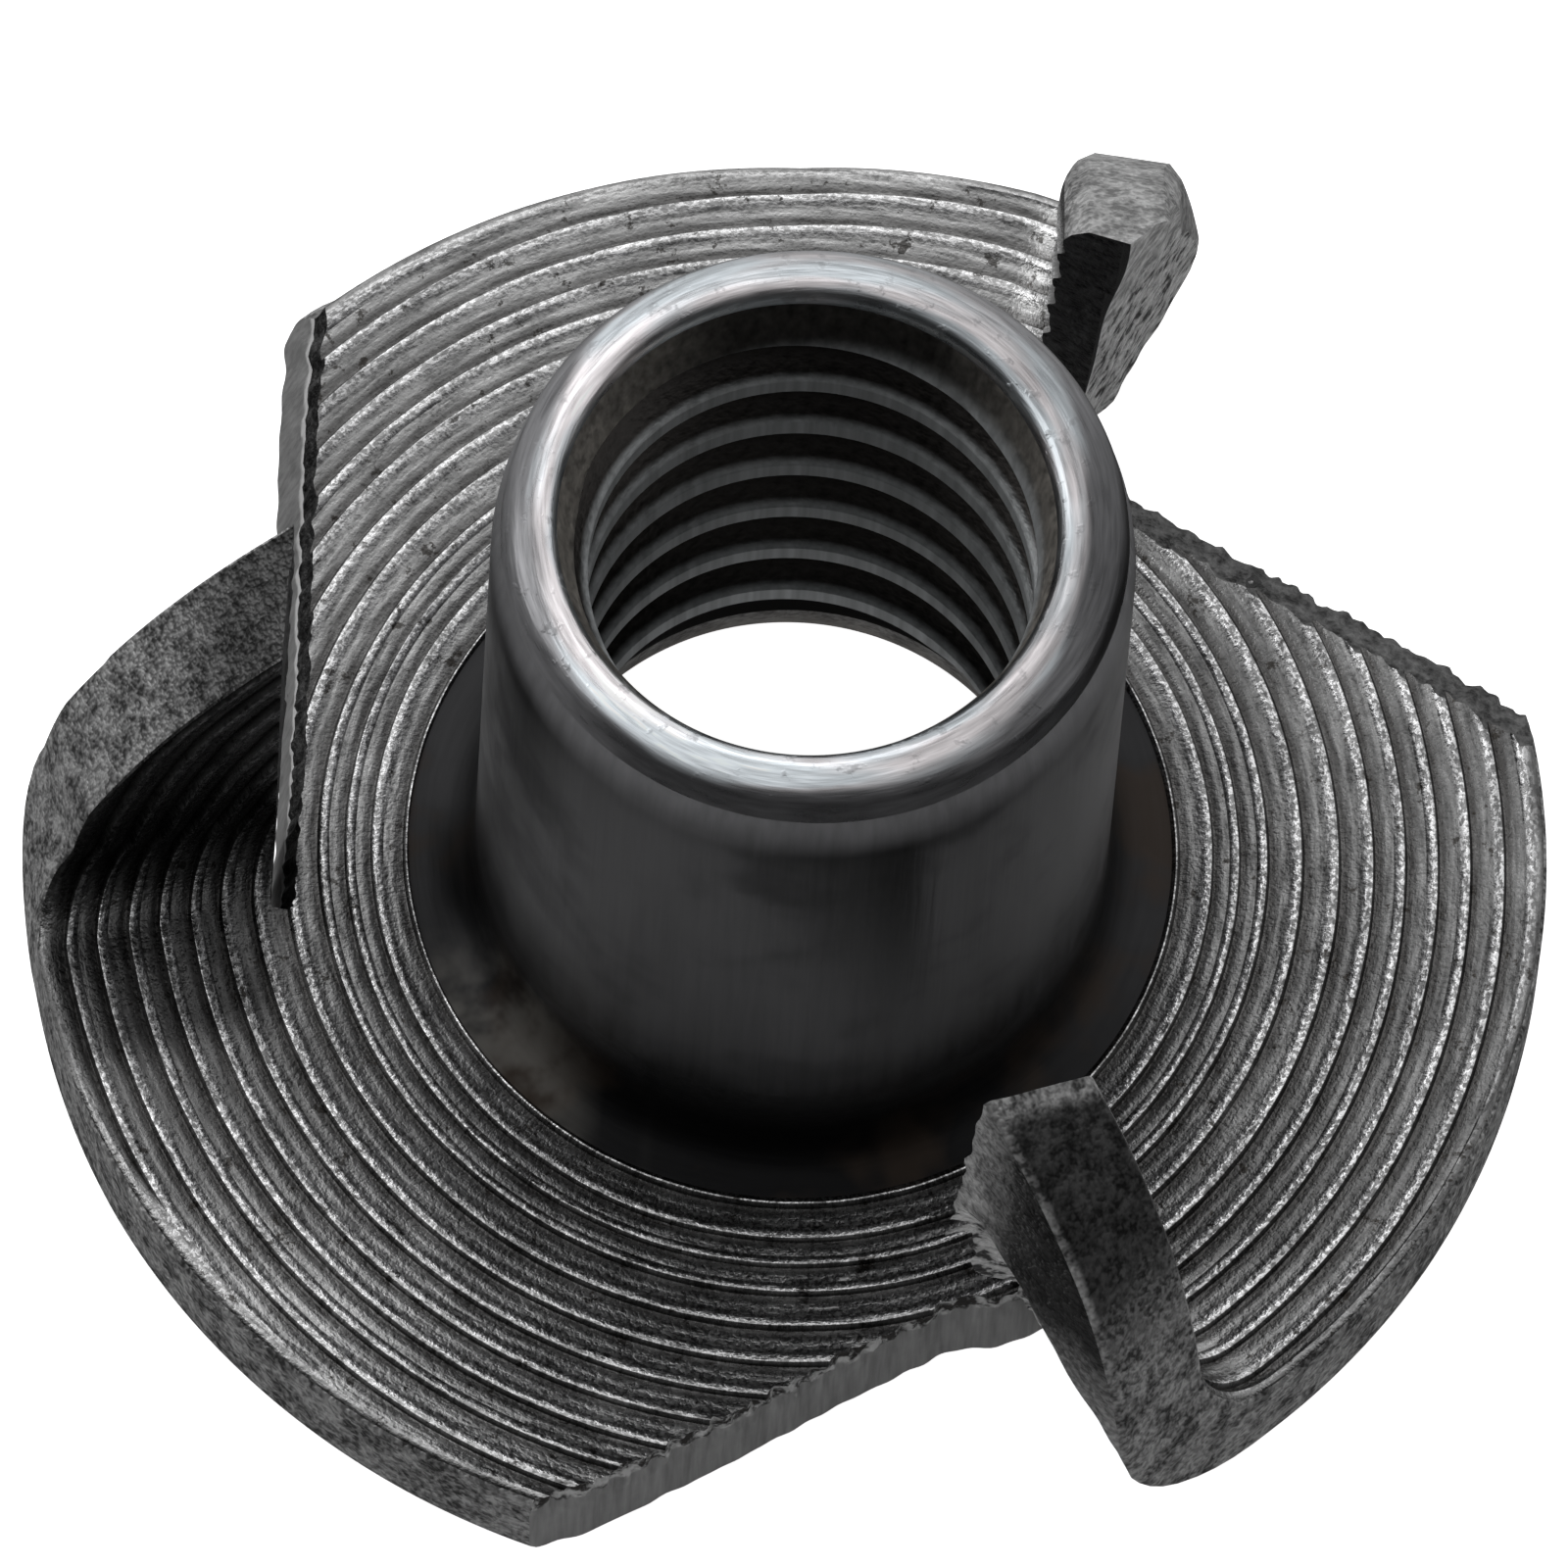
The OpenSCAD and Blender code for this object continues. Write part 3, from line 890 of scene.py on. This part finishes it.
def mix_barrel_skin(skin):
    """The barrel: drawn smooth, with faint upright streaks, soft stains and a collar dark with oily dirt and
    painted shade.
    """
    t, shader = material("barrel_skin")
    spot = use(t, "Place on the blank")
    streak = use(t, "Drawn streaks", Around=30.0, Upwards=0.3, Detail=2.0)["Streak"]
    stain = use(t, "Stains", Size=2.4)["Stain"]
    x, y, z = t.split(spot["Place"])
    tone = t.math("MULTIPLY_ADD", stain, -0.35, streak)
    # the collar is painted dark, partly oily dirt and partly painted shade, and its front darker still as
    # painted shade
    collar = t.span(z, 3.0, 2.2, soft=True)
    lit = t.math("MULTIPLY", t.span(tone, 0.0, 0.8, 0.6, 0.98), t.span(collar, 0.0, 1.0, 1.0, 0.16))
    shade = t.math("MULTIPLY", collar, t.span(y, -1.0, -4.5))
    lit = t.math("MULTIPLY", lit, t.span(shade, 0.0, 1.0, 1.0, 0.4))
    foot = t.math("MULTIPLY", collar, t.span(stain, 0.2, 0.8))
    muddy = t.mix(t.math("MULTIPLY", foot, 0.5), t.shade(skin, lit), (0.06, 0.045, 0.035))
    # dry dirt has caked on the collar, in front on the left
    caked = t.math("MULTIPLY", t.math("MULTIPLY", collar, t.span(x, -2.4, -3.4)), t.span(y, -1.7, -2.9))
    caked = t.math("MULTIPLY", caked, use(t, "Stains", Size=0.8, From=0.3, To=0.65)["Stain"])
    muddy = t.mix(t.math("MULTIPLY", caked, 0.7), muddy, (0.095, 0.09, 0.08))
    # a fine dark line at the barrel's foot, in front on the left, is a painted reflection
    beside = t.math("ABSOLUTE", t.math("ADD", x, 1.75))
    reflected_line = t.math("MULTIPLY", t.span(beside, 0.14, 0.0), t.span(z, 3.8, 2.4))
    reflected_line = t.math("MULTIPLY", reflected_line, t.span(y, 0.0, -1.0))
    marked = t.mix(t.math("MULTIPLY", reflected_line, 0.5), muddy, (0.02, 0.02, 0.02))
    t.feed(shader["Base Color"], marked)
    bare = t.math("MULTIPLY", t.span(z, 11.4, 12.4, 1.0, 0.55, soft=True), t.span(caked, 0.0, 1.0, 1.0, 0.3))
    t.feed(shader["Metallic"], bare)
    matt = t.math("ADD", t.math("ADD", streak, stain), collar)
    t.feed(shader["Roughness"], t.span(matt, 0.2, 2.4, 0.28, 0.56))
    relief(t, shader, streak, 0.006)


def mix_polished_mouth(skin):
    """The mouth: burnished bright, with soft rings of rubbing, a few nicks and a faint heat tint, and the
    shoulder round it, which fades to the barrel's dark; both are painted lighter where the lights fall."""
    t, shader = material("polished_mouth")
    spot = use(t, "Place on the blank")
    rub = use(t, "Turned streaks", Along=4.0, Across=12.0, Detail=2.0)["Streak"]
    nick = use(t, "Stains", Size=0.3, From=0.58, To=0.72)["Stain"]
    tint = use(t, "Turned streaks", Along=1.6, Across=3.0, Detail=1.0)["Streak"]
    centred = t.vector("ADD", spot["Place"], (-MOUTH_SHIFT, 0, 0))
    across = t.vector("LENGTH", t.vector("MULTIPLY", centred, (1, 1, 0)))
    # painted reflection: the bright band is painted narrow at the sides and wider in front and behind,
    # lightest on the left and darkest on the right
    x, y, _ = t.split(spot["Outwards"])
    behind = t.span(y, 0.1, 0.9, soft=True)
    before = t.span(y, -0.2, -0.85, soft=True)
    left = t.span(x, -0.2, -0.85, soft=True)
    reach = t.math("MULTIPLY_ADD", behind, -0.36, t.math("MULTIPLY_ADD", before, -0.18, across))
    reach = t.math("MULTIPLY_ADD", left, 0.08, reach)
    rim = t.span(t.math("MULTIPLY_ADD", tint, 0.3, reach), 4.26, 4.0, soft=True)
    warm = t.mix(t.span(tint, 0.4, 0.6), (0.56, 0.6, 0.63), (0.64, 0.61, 0.62))
    painted_light = t.math("MULTIPLY", t.span(x, -0.7, 0.7, 1.4, 0.75), t.span(y, -0.3, -0.9, 1.0, 1.15))
    painted_light = t.math("MULTIPLY", painted_light, t.span(behind, 0.0, 1.0, 1.0, 0.8))
    bright = t.shade(warm, t.math("MULTIPLY", t.span(rub, 0.3, 0.7, 0.7, 1.35), painted_light))
    worn = t.mix(t.math("MULTIPLY", nick, 0.4), bright, skin)
    # painted light: the shoulder is painted lighter behind, on the left and a little in front
    pale = t.math("MAXIMUM", behind, t.math("MAXIMUM", left, t.math("MULTIPLY", before, 0.5)))
    dull = t.math("MULTIPLY", t.span(rub, 0.2, 0.8, 0.2, 0.55), t.span(pale, 0.0, 1.0, 1.0, 2.3))
    t.feed(shader["Base Color"], t.mix(rim, t.shade(skin, dull), worn))
    t.feed(shader["Metallic"], t.span(t.math("MAXIMUM", rim, t.span(pale, 1.0, 0.0)), 0.0, 1.0, 0.6, 1.0))
    t.feed(shader["Roughness"], t.span(t.math("ADD", rub, nick), 0.3, 1.4, 0.26, 0.42))
    relief(t, shader, t.math("MULTIPLY_ADD", nick, 0.6, rub), 0.008)


def mix_thread(dark):
    """The thread: crests worn by rubbing, over flanks and roots painted dark as shade."""
    t, shader = material("thread")
    spot = use(t, "Place on the blank")
    rub = use(t, "Turned streaks", Along=20.0, Across=12.0, Detail=2.0)["Streak"]
    crest = t.span(spot["Radius"], 3.34, 3.21, soft=True)
    lead = t.span(spot["Height"], 11.3, 11.9, soft=True)
    side = t.math("ABSOLUTE", t.split(spot["Outwards"])[0])
    # painted light: the lead-in's sides are painted a light tan; elsewhere the flanks and roots are painted
    # dark, as painted shade
    taper = t.math("MULTIPLY", lead, t.span(side, 0.4, 0.95, 0.15, 1.0))
    flank = t.mix(taper, dark, (0.46, 0.43, 0.39))
    wall = t.shade(flank, t.span(rub, 0.2, 0.8, 0.4, 1.3))
    worn = t.shade((0.46, 0.48, 0.49), t.span(rub, 0.2, 0.8, 0.6, 1.2))
    t.feed(shader["Base Color"], t.mix(crest, wall, worn))
    t.feed(shader["Metallic"], t.math("MINIMUM", t.span(crest, 0.0, 1.0, 1.0, 0.3),
                                      t.span(taper, 0.0, 1.0, 1.0, 0.7)))
    t.feed(shader["Roughness"], t.span(rub, 0.3, 0.7, 0.3, 0.45))
    relief(t, shader, rub, 0.01)


def mix_sheared_edge(steel, dark):
    """Cut walls: burnished, with upright streaks and a worn lip painted bright as a highlight over a few
    dark chips.
    """
    t, shader = material("sheared_edge")
    spot = use(t, "Place on the blank")
    streak = t.noise(t.vector("MULTIPLY", spot["Place"], (9, 9, 0.6)), 1.0, 2.0, 0.6)
    broken = t.noise(t.vector("MULTIPLY", spot["Place"], (3, 3, 3)), 1.0, 3.0, 0.7)
    level = t.math("MULTIPLY_ADD", broken, 0.6, spot["Height"])
    chip = t.math("MULTIPLY", t.span(level, 1.72, 1.8), t.span(broken, 0.52, 0.44))
    # painted highlight: the worn lip along the top is painted light
    lip = t.math("MULTIPLY", t.span(level, 1.7, 1.85), t.span(broken, 0.5, 0.62))
    wall = t.mix(chip, t.shade(steel, t.span(streak, 0.2, 0.8, 0.6, 1.25)), dark)
    x, _, z = t.split(spot["Place"])
    # painted highlight: the left cut's ledge is painted bright
    ledge = t.math("MULTIPLY_ADD", broken, 0.3, z)
    ledge = t.math("MULTIPLY", t.span(ledge, 1.1, 1.2), t.span(x, -6.5, -7.0))
    lit = t.math("MAXIMUM", t.math("MULTIPLY", lip, 0.6), ledge)
    t.feed(shader["Base Color"], t.mix(lit, wall, (0.75, 0.75, 0.75)))
    t.feed(shader["Metallic"], 0.55)
    t.feed(shader["Roughness"], t.span(broken, 0.3, 0.7, 0.34, 0.46))
    relief(t, shader, t.math("MULTIPLY_ADD", streak, 0.2, t.math("MULTIPLY", chip, -1.0)), 0.06)


def mix_broken_edge(steel):
    """Broken walls and the flaps' ends: dark all over."""
    t, shader = material("broken_edge")
    spot = use(t, "Place on the blank")
    broken = t.noise(t.vector("MULTIPLY", spot["Place"], (5, 5, 4)), 1.0, 3.0, 0.7)
    t.feed(shader["Base Color"], t.shade(steel, t.span(broken, 0.35, 0.7, 0.08, 0.65)))
    t.feed(shader["Roughness"], t.span(broken, 0.3, 0.7, 0.4, 0.55))
    relief(t, shader, broken, 0.08)


def mix_torn_face(steel):
    """Torn faces down the prongs' outer sides: light and lumpy, with dark crevices, tumbled smooth above."""
    t, shader = material("torn_face")
    spot = use(t, "Place on the nut")
    lumps = t.noise(spot["Place"], 4.0, 3.0, 0.65)
    front_shade = use(t, "Rubbed front prong", Patch=lumps, Waver=1.5, From=4.2, To=5.6)["Painted shade"]
    tumbled = t.span(spot["Height"], 5.6, 6.6, soft=True)
    # painted shade: the crevices between the lumps are painted dark
    crevice = t.math("MAXIMUM", t.span(lumps, 0.38, 0.47, soft=True), tumbled)
    lumpy = t.shade(steel, t.span(lumps, 0.4, 0.65, 0.8, 2.2))
    torn = t.mix(crevice, (0.05, 0.05, 0.05), lumpy)
    # painted shade: the front prong's upper part is painted dark
    t.feed(shader["Base Color"], t.shade(torn, t.span(front_shade, 0.0, 1.0, 1.0, 0.07)))
    t.feed(shader["Metallic"], 0.4)
    t.feed(shader["Roughness"], t.span(lumps, 0.35, 0.65, 0.55, 0.36))
    relief(t, shader, t.math("MULTIPLY", lumps, t.span(tumbled, 0.0, 1.0, 1.0, 0.4)), 0.16)


def mix_rim_face(steel):
    """The rim: blanked and tumbled, so dull, mottled and worn light, with painted shade on the left end and
    on the front prong between painted highlights along its edges, and the back prong's top painted lighter."""
    t, shader = material("rim_face")
    grain = use(t, "Metal grain", Size=0.1)["Grain"]
    patch = use(t, "Stains", Size=0.45, From=0.35, To=0.65)["Stain"]
    x, y, z = t.split(use(t, "Place on the nut")["Place"])
    back = t.math("MULTIPLY", t.span(x, 3.0, 3.6), t.span(y, 3.0, 4.0))
    left = t.math("MULTIPLY", t.span(x, -9.6, -8.0, soft=True), t.span(x, -6.5, -7.0))
    front_shade = use(t, "Rubbed front prong", Patch=patch, Waver=0.8, From=4.4, To=6.4)["Painted shade"]
    # painted light: the back prong's top is painted lighter, as lit from above
    capped = t.math("MULTIPLY", back, t.span(z, 5.0, 6.4, soft=True))
    shaded = t.math("MULTIPLY", left, t.span(z, 3.0, 5.0))
    tone = t.math("MULTIPLY_ADD", grain, 0.5, t.math("MULTIPLY", patch, 0.5))
    level = t.math("MULTIPLY_ADD", capped, 0.3, t.span(tone, 0.1, 0.9, 0.2, 1.45))
    painted_shade = t.math("MAXIMUM", front_shade, t.math("MULTIPLY", shaded, 0.85))
    # painted highlights lie along the front prong's outer side and along its top
    along = t.math("MULTIPLY_ADD", x, -0.5, t.math("MULTIPLY", y, 0.866))
    beside = t.span(use(t, "Place on the blank")["Height"], 0.2, 0.06, soft=True)
    above = t.span(along, -7.85, -7.6, soft=True)
    edge = t.math("MULTIPLY", front_shade, t.math("MAXIMUM", beside, above))
    shadow = t.math("ADD", t.span(painted_shade, 0.0, 1.0, 1.0, 0.18), edge)
    t.feed(shader["Base Color"], t.shade(steel, t.math("MULTIPLY", level, shadow)))
    t.feed(shader["Metallic"], 0.6)
    t.feed(shader["Roughness"], t.span(grain, 0.0, 1.0, 0.4, 0.56))
    rough = t.math("MULTIPLY_ADD", patch, 0.5, grain)
    relief(t, shader, t.math("MULTIPLY", rough, t.span(front_shade, 0.0, 1.0, 1.0, 0.25)), 0.03)


def mix_sheet_skin(steel):
    """The underside: plain rolled sheet with fine scratches, scuffed dull where it was folded up."""
    t, shader = material("sheet_skin")
    spot = use(t, "Place on the blank")
    grain = use(t, "Metal grain", Size=0.1)["Grain"]
    patch = use(t, "Stains", Size=0.5, From=0.35, To=0.65)["Stain"]
    scuffed = t.span(use(t, "Place on the nut")["Height"], 1.0, 2.5, soft=True)
    front_shade = use(t, "Rubbed front prong", Patch=patch, Waver=0.8, From=3.6, To=5.4)["Painted shade"]
    rolled = t.noise(t.vector("MULTIPLY", spot["Place"], (0.8, 16, 1)), 1.0, 3.0, 0.6)
    plain = t.shade((0.28, 0.26, 0.24), t.span(rolled, 0.3, 0.7, 0.55, 1.2))
    dull = t.shade(steel, t.span(t.math("ADD", grain, patch), 0.2, 1.8, 0.45, 1.5))
    # painted shade: the front prong's upper part is painted dark
    dull = t.shade(dull, t.span(front_shade, 0.0, 1.0, 1.0, 0.1))
    t.feed(shader["Base Color"], t.mix(scuffed, plain, dull))
    t.feed(shader["Metallic"], 0.6)
    t.feed(shader["Roughness"], t.span(grain, 0.0, 1.0, 0.34, 0.5))
    relief(t, shader, t.mix(scuffed, rolled, t.math("MULTIPLY_ADD", patch, 2.0, grain)), 0.02)


def build_finishes(look, flange):
    """Mixes all the finishes from the three colours."""
    steel, dark, skin = tuple(look.steel), tuple(look.dark), tuple(look.barrel)
    mix_turned_face(steel, dark, flange.thickness / MM)
    mix_barrel_skin(skin)
    mix_polished_mouth(skin)
    mix_thread(dark)
    mix_sheared_edge(steel, dark)
    mix_rim_face(steel)
    mix_sheet_skin(steel)
    mix_torn_face(steel)
    mix_broken_edge(steel)


# ---------------------------------------------------------------- operators

class TEENUT_OT_finishes(bpy.types.Operator):
    """Mixes the steel finishes that the nut is made with"""
    bl_idname = "teenut.finishes"
    bl_label = "Finishes"

    def execute(self, context):
        build_effects()
        build_finishes(context.scene.teenut_finish, context.scene.teenut_flange)
        return {"FINISHED"}


class TEENUT_OT_blank(bpy.types.Operator):
    """Turns the blank: ringed flange, collar, barrel, mouth and thread"""
    bl_idname = "teenut.blank"
    bl_label = "Turned blank"

    def execute(self, context):
        turn_blank(context.scene.teenut_flange, context.scene.teenut_barrel)
        return {"FINISHED"}


class TEENUT_OT_prongs(bpy.types.Operator):
    """Cuts three flaps in the flange and folds them up as prongs"""
    bl_idname = "teenut.prongs"
    bl_label = "Prongs"

    def execute(self, context):
        nut = bpy.data.objects[PIECE]
        shear_and_fold(nut, context.scene.teenut_flange, context.scene.teenut_prongs)
        return {"FINISHED"}


class TEENUT_OT_place(bpy.types.Operator):
    """Smooths the nut between its sharp edges and lets it stand for the solid"""
    bl_idname = "teenut.place"
    bl_label = "Nut in the frame"

    def execute(self, context):
        nut = bpy.data.objects[PIECE]
        nut.data.polygons.foreach_set("use_smooth", np.ones(len(nut.data.polygons), bool))
        nut.data.set_sharp_from_angle(angle=SHARP_EDGE)
        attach(nut, "root")
        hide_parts("tee_nut")
        return {"FINISHED"}


# Each softbox: name, place, width and height, and brightness
SOFTBOXES = (
    ("left_softbox", (-0.30, 0.06, 0.24), (0.16, 0.3), 2.0),
    ("back_softbox", (-0.05, 0.26, 0.36), (0.26, 0.14), 0.9),
    ("right_softbox", (0.34, -0.02, 0.2), (0.08, 0.25), 0.7),
)


AIM = Vector((0, 0, 0.006))      # the middle of the nut, which every softbox faces
FLOOR_REACH = 1.5                # half the floor's width


def area_light(name, place, size, bright):
    """A soft rectangular light that faces the nut."""
    data = bpy.data.lights.new(name, "AREA")
    data.shape, data.size, data.size_y = "RECTANGLE", size[0], size[1]
    data.energy = bright * math.pi * size[0] * size[1]
    lamp = bpy.data.objects.new(name, data)
    bpy.context.scene.collection.objects.link(lamp)
    lamp.location = place
    lamp.visible_camera = False
    lamp.rotation_mode = "QUATERNION"
    lamp.rotation_quaternion = (Vector(place) - AIM).to_track_quat("Z", "Y")


def room(look):
    """The room: bright overhead and behind the nut, dim in front and below, and plain pale to the camera."""
    world = bpy.data.worlds.new("studio")
    world.use_nodes = True
    t = Tree(world.node_tree)
    _, y, z = t.split(t.add("ShaderNodeTexCoord").outputs["Generated"])
    # the light comes from a wide pale sheet that leans over the nut from behind
    towards = t.math("MULTIPLY_ADD", z, 0.6, t.math("MULTIPLY", y, 0.8))
    light = t.math("MULTIPLY", t.span(towards, -0.15, 0.8, 0.04, 1.0, soft=True), look.room_light)
    seen = t.math("MULTIPLY", t.add("ShaderNodeLightPath").outputs["Is Camera Ray"], 0.97)
    background = world.node_tree.nodes["Background"].inputs
    background["Color"].default_value = (1, 1, 1, 1)
    t.feed(background["Strength"], t.math("MAXIMUM", light, seen))
    bpy.context.scene.world = world


def pale_floor(look):
    """The floor: a plain pale sheet that glows a little, so that no shadow falls dark on it."""
    mesh = bpy.data.meshes.new("floor")
    s = FLOOR_REACH
    mesh.from_pydata([(-s, -s, 0), (s, -s, 0), (s, s, 0), (-s, s, 0)], [], [(0, 1, 2, 3)])
    floor = bpy.data.objects.new("floor", mesh)
    bpy.context.scene.collection.objects.link(floor)
    mat = bpy.data.materials.new("floor_paper")
    mat.use_nodes = True
    shader = mat.node_tree.nodes["Principled BSDF"].inputs
    shader["Base Color"].default_value = (*look.floor, 1)
    shader["Roughness"].default_value = 1.0
    shader["Specular IOR Level"].default_value = 0.0
    shader["Emission Color"].default_value = (1, 1, 1, 1)
    shader["Emission Strength"].default_value = look.floor_glow
    mesh.materials.append(mat)
    # the polished steel mirrors the dim room and not the pale floor
    floor.visible_glossy = False


def aimed_camera(look):
    """The camera, from its distance and elevation, and turned by its pan, tilt and roll."""
    data = bpy.data.cameras.new("camera")
    data.sensor_width, data.lens = 36, look.lens
    data.clip_start, data.clip_end = 0.01, 10
    camera = bpy.data.objects.new("camera", data)
    bpy.context.scene.collection.objects.link(camera)
    place = look.distance * Vector((0, -math.cos(look.elevation), math.sin(look.elevation)))
    ahead, right = -place.normalized(), Vector((1, 0, 0))
    sight = Matrix((right, right.cross(ahead) * -1, ahead))
    sight = (Matrix.Rotation(look.roll, 3, "Z") @ Matrix.Rotation(look.tilt, 3, "X")
             @ Matrix.Rotation(look.pan, 3, "Y") @ sight)
    camera.rotation_mode = "QUATERNION"
    camera.rotation_quaternion = Matrix((sight[0], -sight[1], -sight[2])).transposed().to_quaternion()
    camera.location = place
    bpy.context.scene.camera = camera


class TEENUT_OT_stage(bpy.types.Operator):
    """Makes the floor, the lights and the camera"""
    bl_idname = "teenut.stage"
    bl_label = "Stage"

    def execute(self, context):
        look = context.scene.teenut_stage
        pale_floor(look)
        room(look)
        for box in SOFTBOXES:
            area_light(*box)
        context.scene.view_settings.view_transform = "Standard"
        aimed_camera(look)
        return {"FINISHED"}


class TEENUT_PT_panel(bpy.types.Panel):
    """Sizes, finishes and steps of the tee nut"""
    bl_idname = "TEENUT_PT_panel"
    bl_label = "Tee nut"
    bl_space_type = "VIEW_3D"
    bl_region_type = "UI"
    bl_category = "Tee nut"

    def draw(self, context):
        for group in ("flange", "barrel", "prongs", "finish", "stage"):
            settings = getattr(context.scene, "teenut_" + group)
            box = self.layout.box()
            box.label(text=group.capitalize())
            for name in settings.bl_rna.properties.keys():
                if name not in ("rna_type", "name"):
                    box.prop(settings, name)
        for step in STEPS:
            self.layout.operator(step.bl_idname)


SETTINGS = {"flange": FlangeSizes, "barrel": BarrelSizes, "prongs": ProngSizes,
            "finish": FinishColours, "stage": StageLook}
STEPS = (TEENUT_OT_finishes, TEENUT_OT_blank, TEENUT_OT_prongs, TEENUT_OT_place, TEENUT_OT_stage)


def register():
    for cls in (*SETTINGS.values(), *STEPS, TEENUT_PT_panel):
        bpy.utils.register_class(cls)
    for name, group in SETTINGS.items():
        setattr(bpy.types.Scene, "teenut_" + name, PointerProperty(type=group))


def unregister():
    for name in SETTINGS:
        delattr(bpy.types.Scene, "teenut_" + name)
    for cls in reversed((*SETTINGS.values(), *STEPS, TEENUT_PT_panel)):
        bpy.utils.unregister_class(cls)


def main():
    register()
    bpy.ops.teenut.finishes()
    bpy.ops.teenut.blank()
    bpy.ops.teenut.prongs()
    bpy.ops.teenut.place()
    bpy.ops.teenut.stage()
    bpy.context.view_layer.update()


if __name__ == "__main__":
    main()
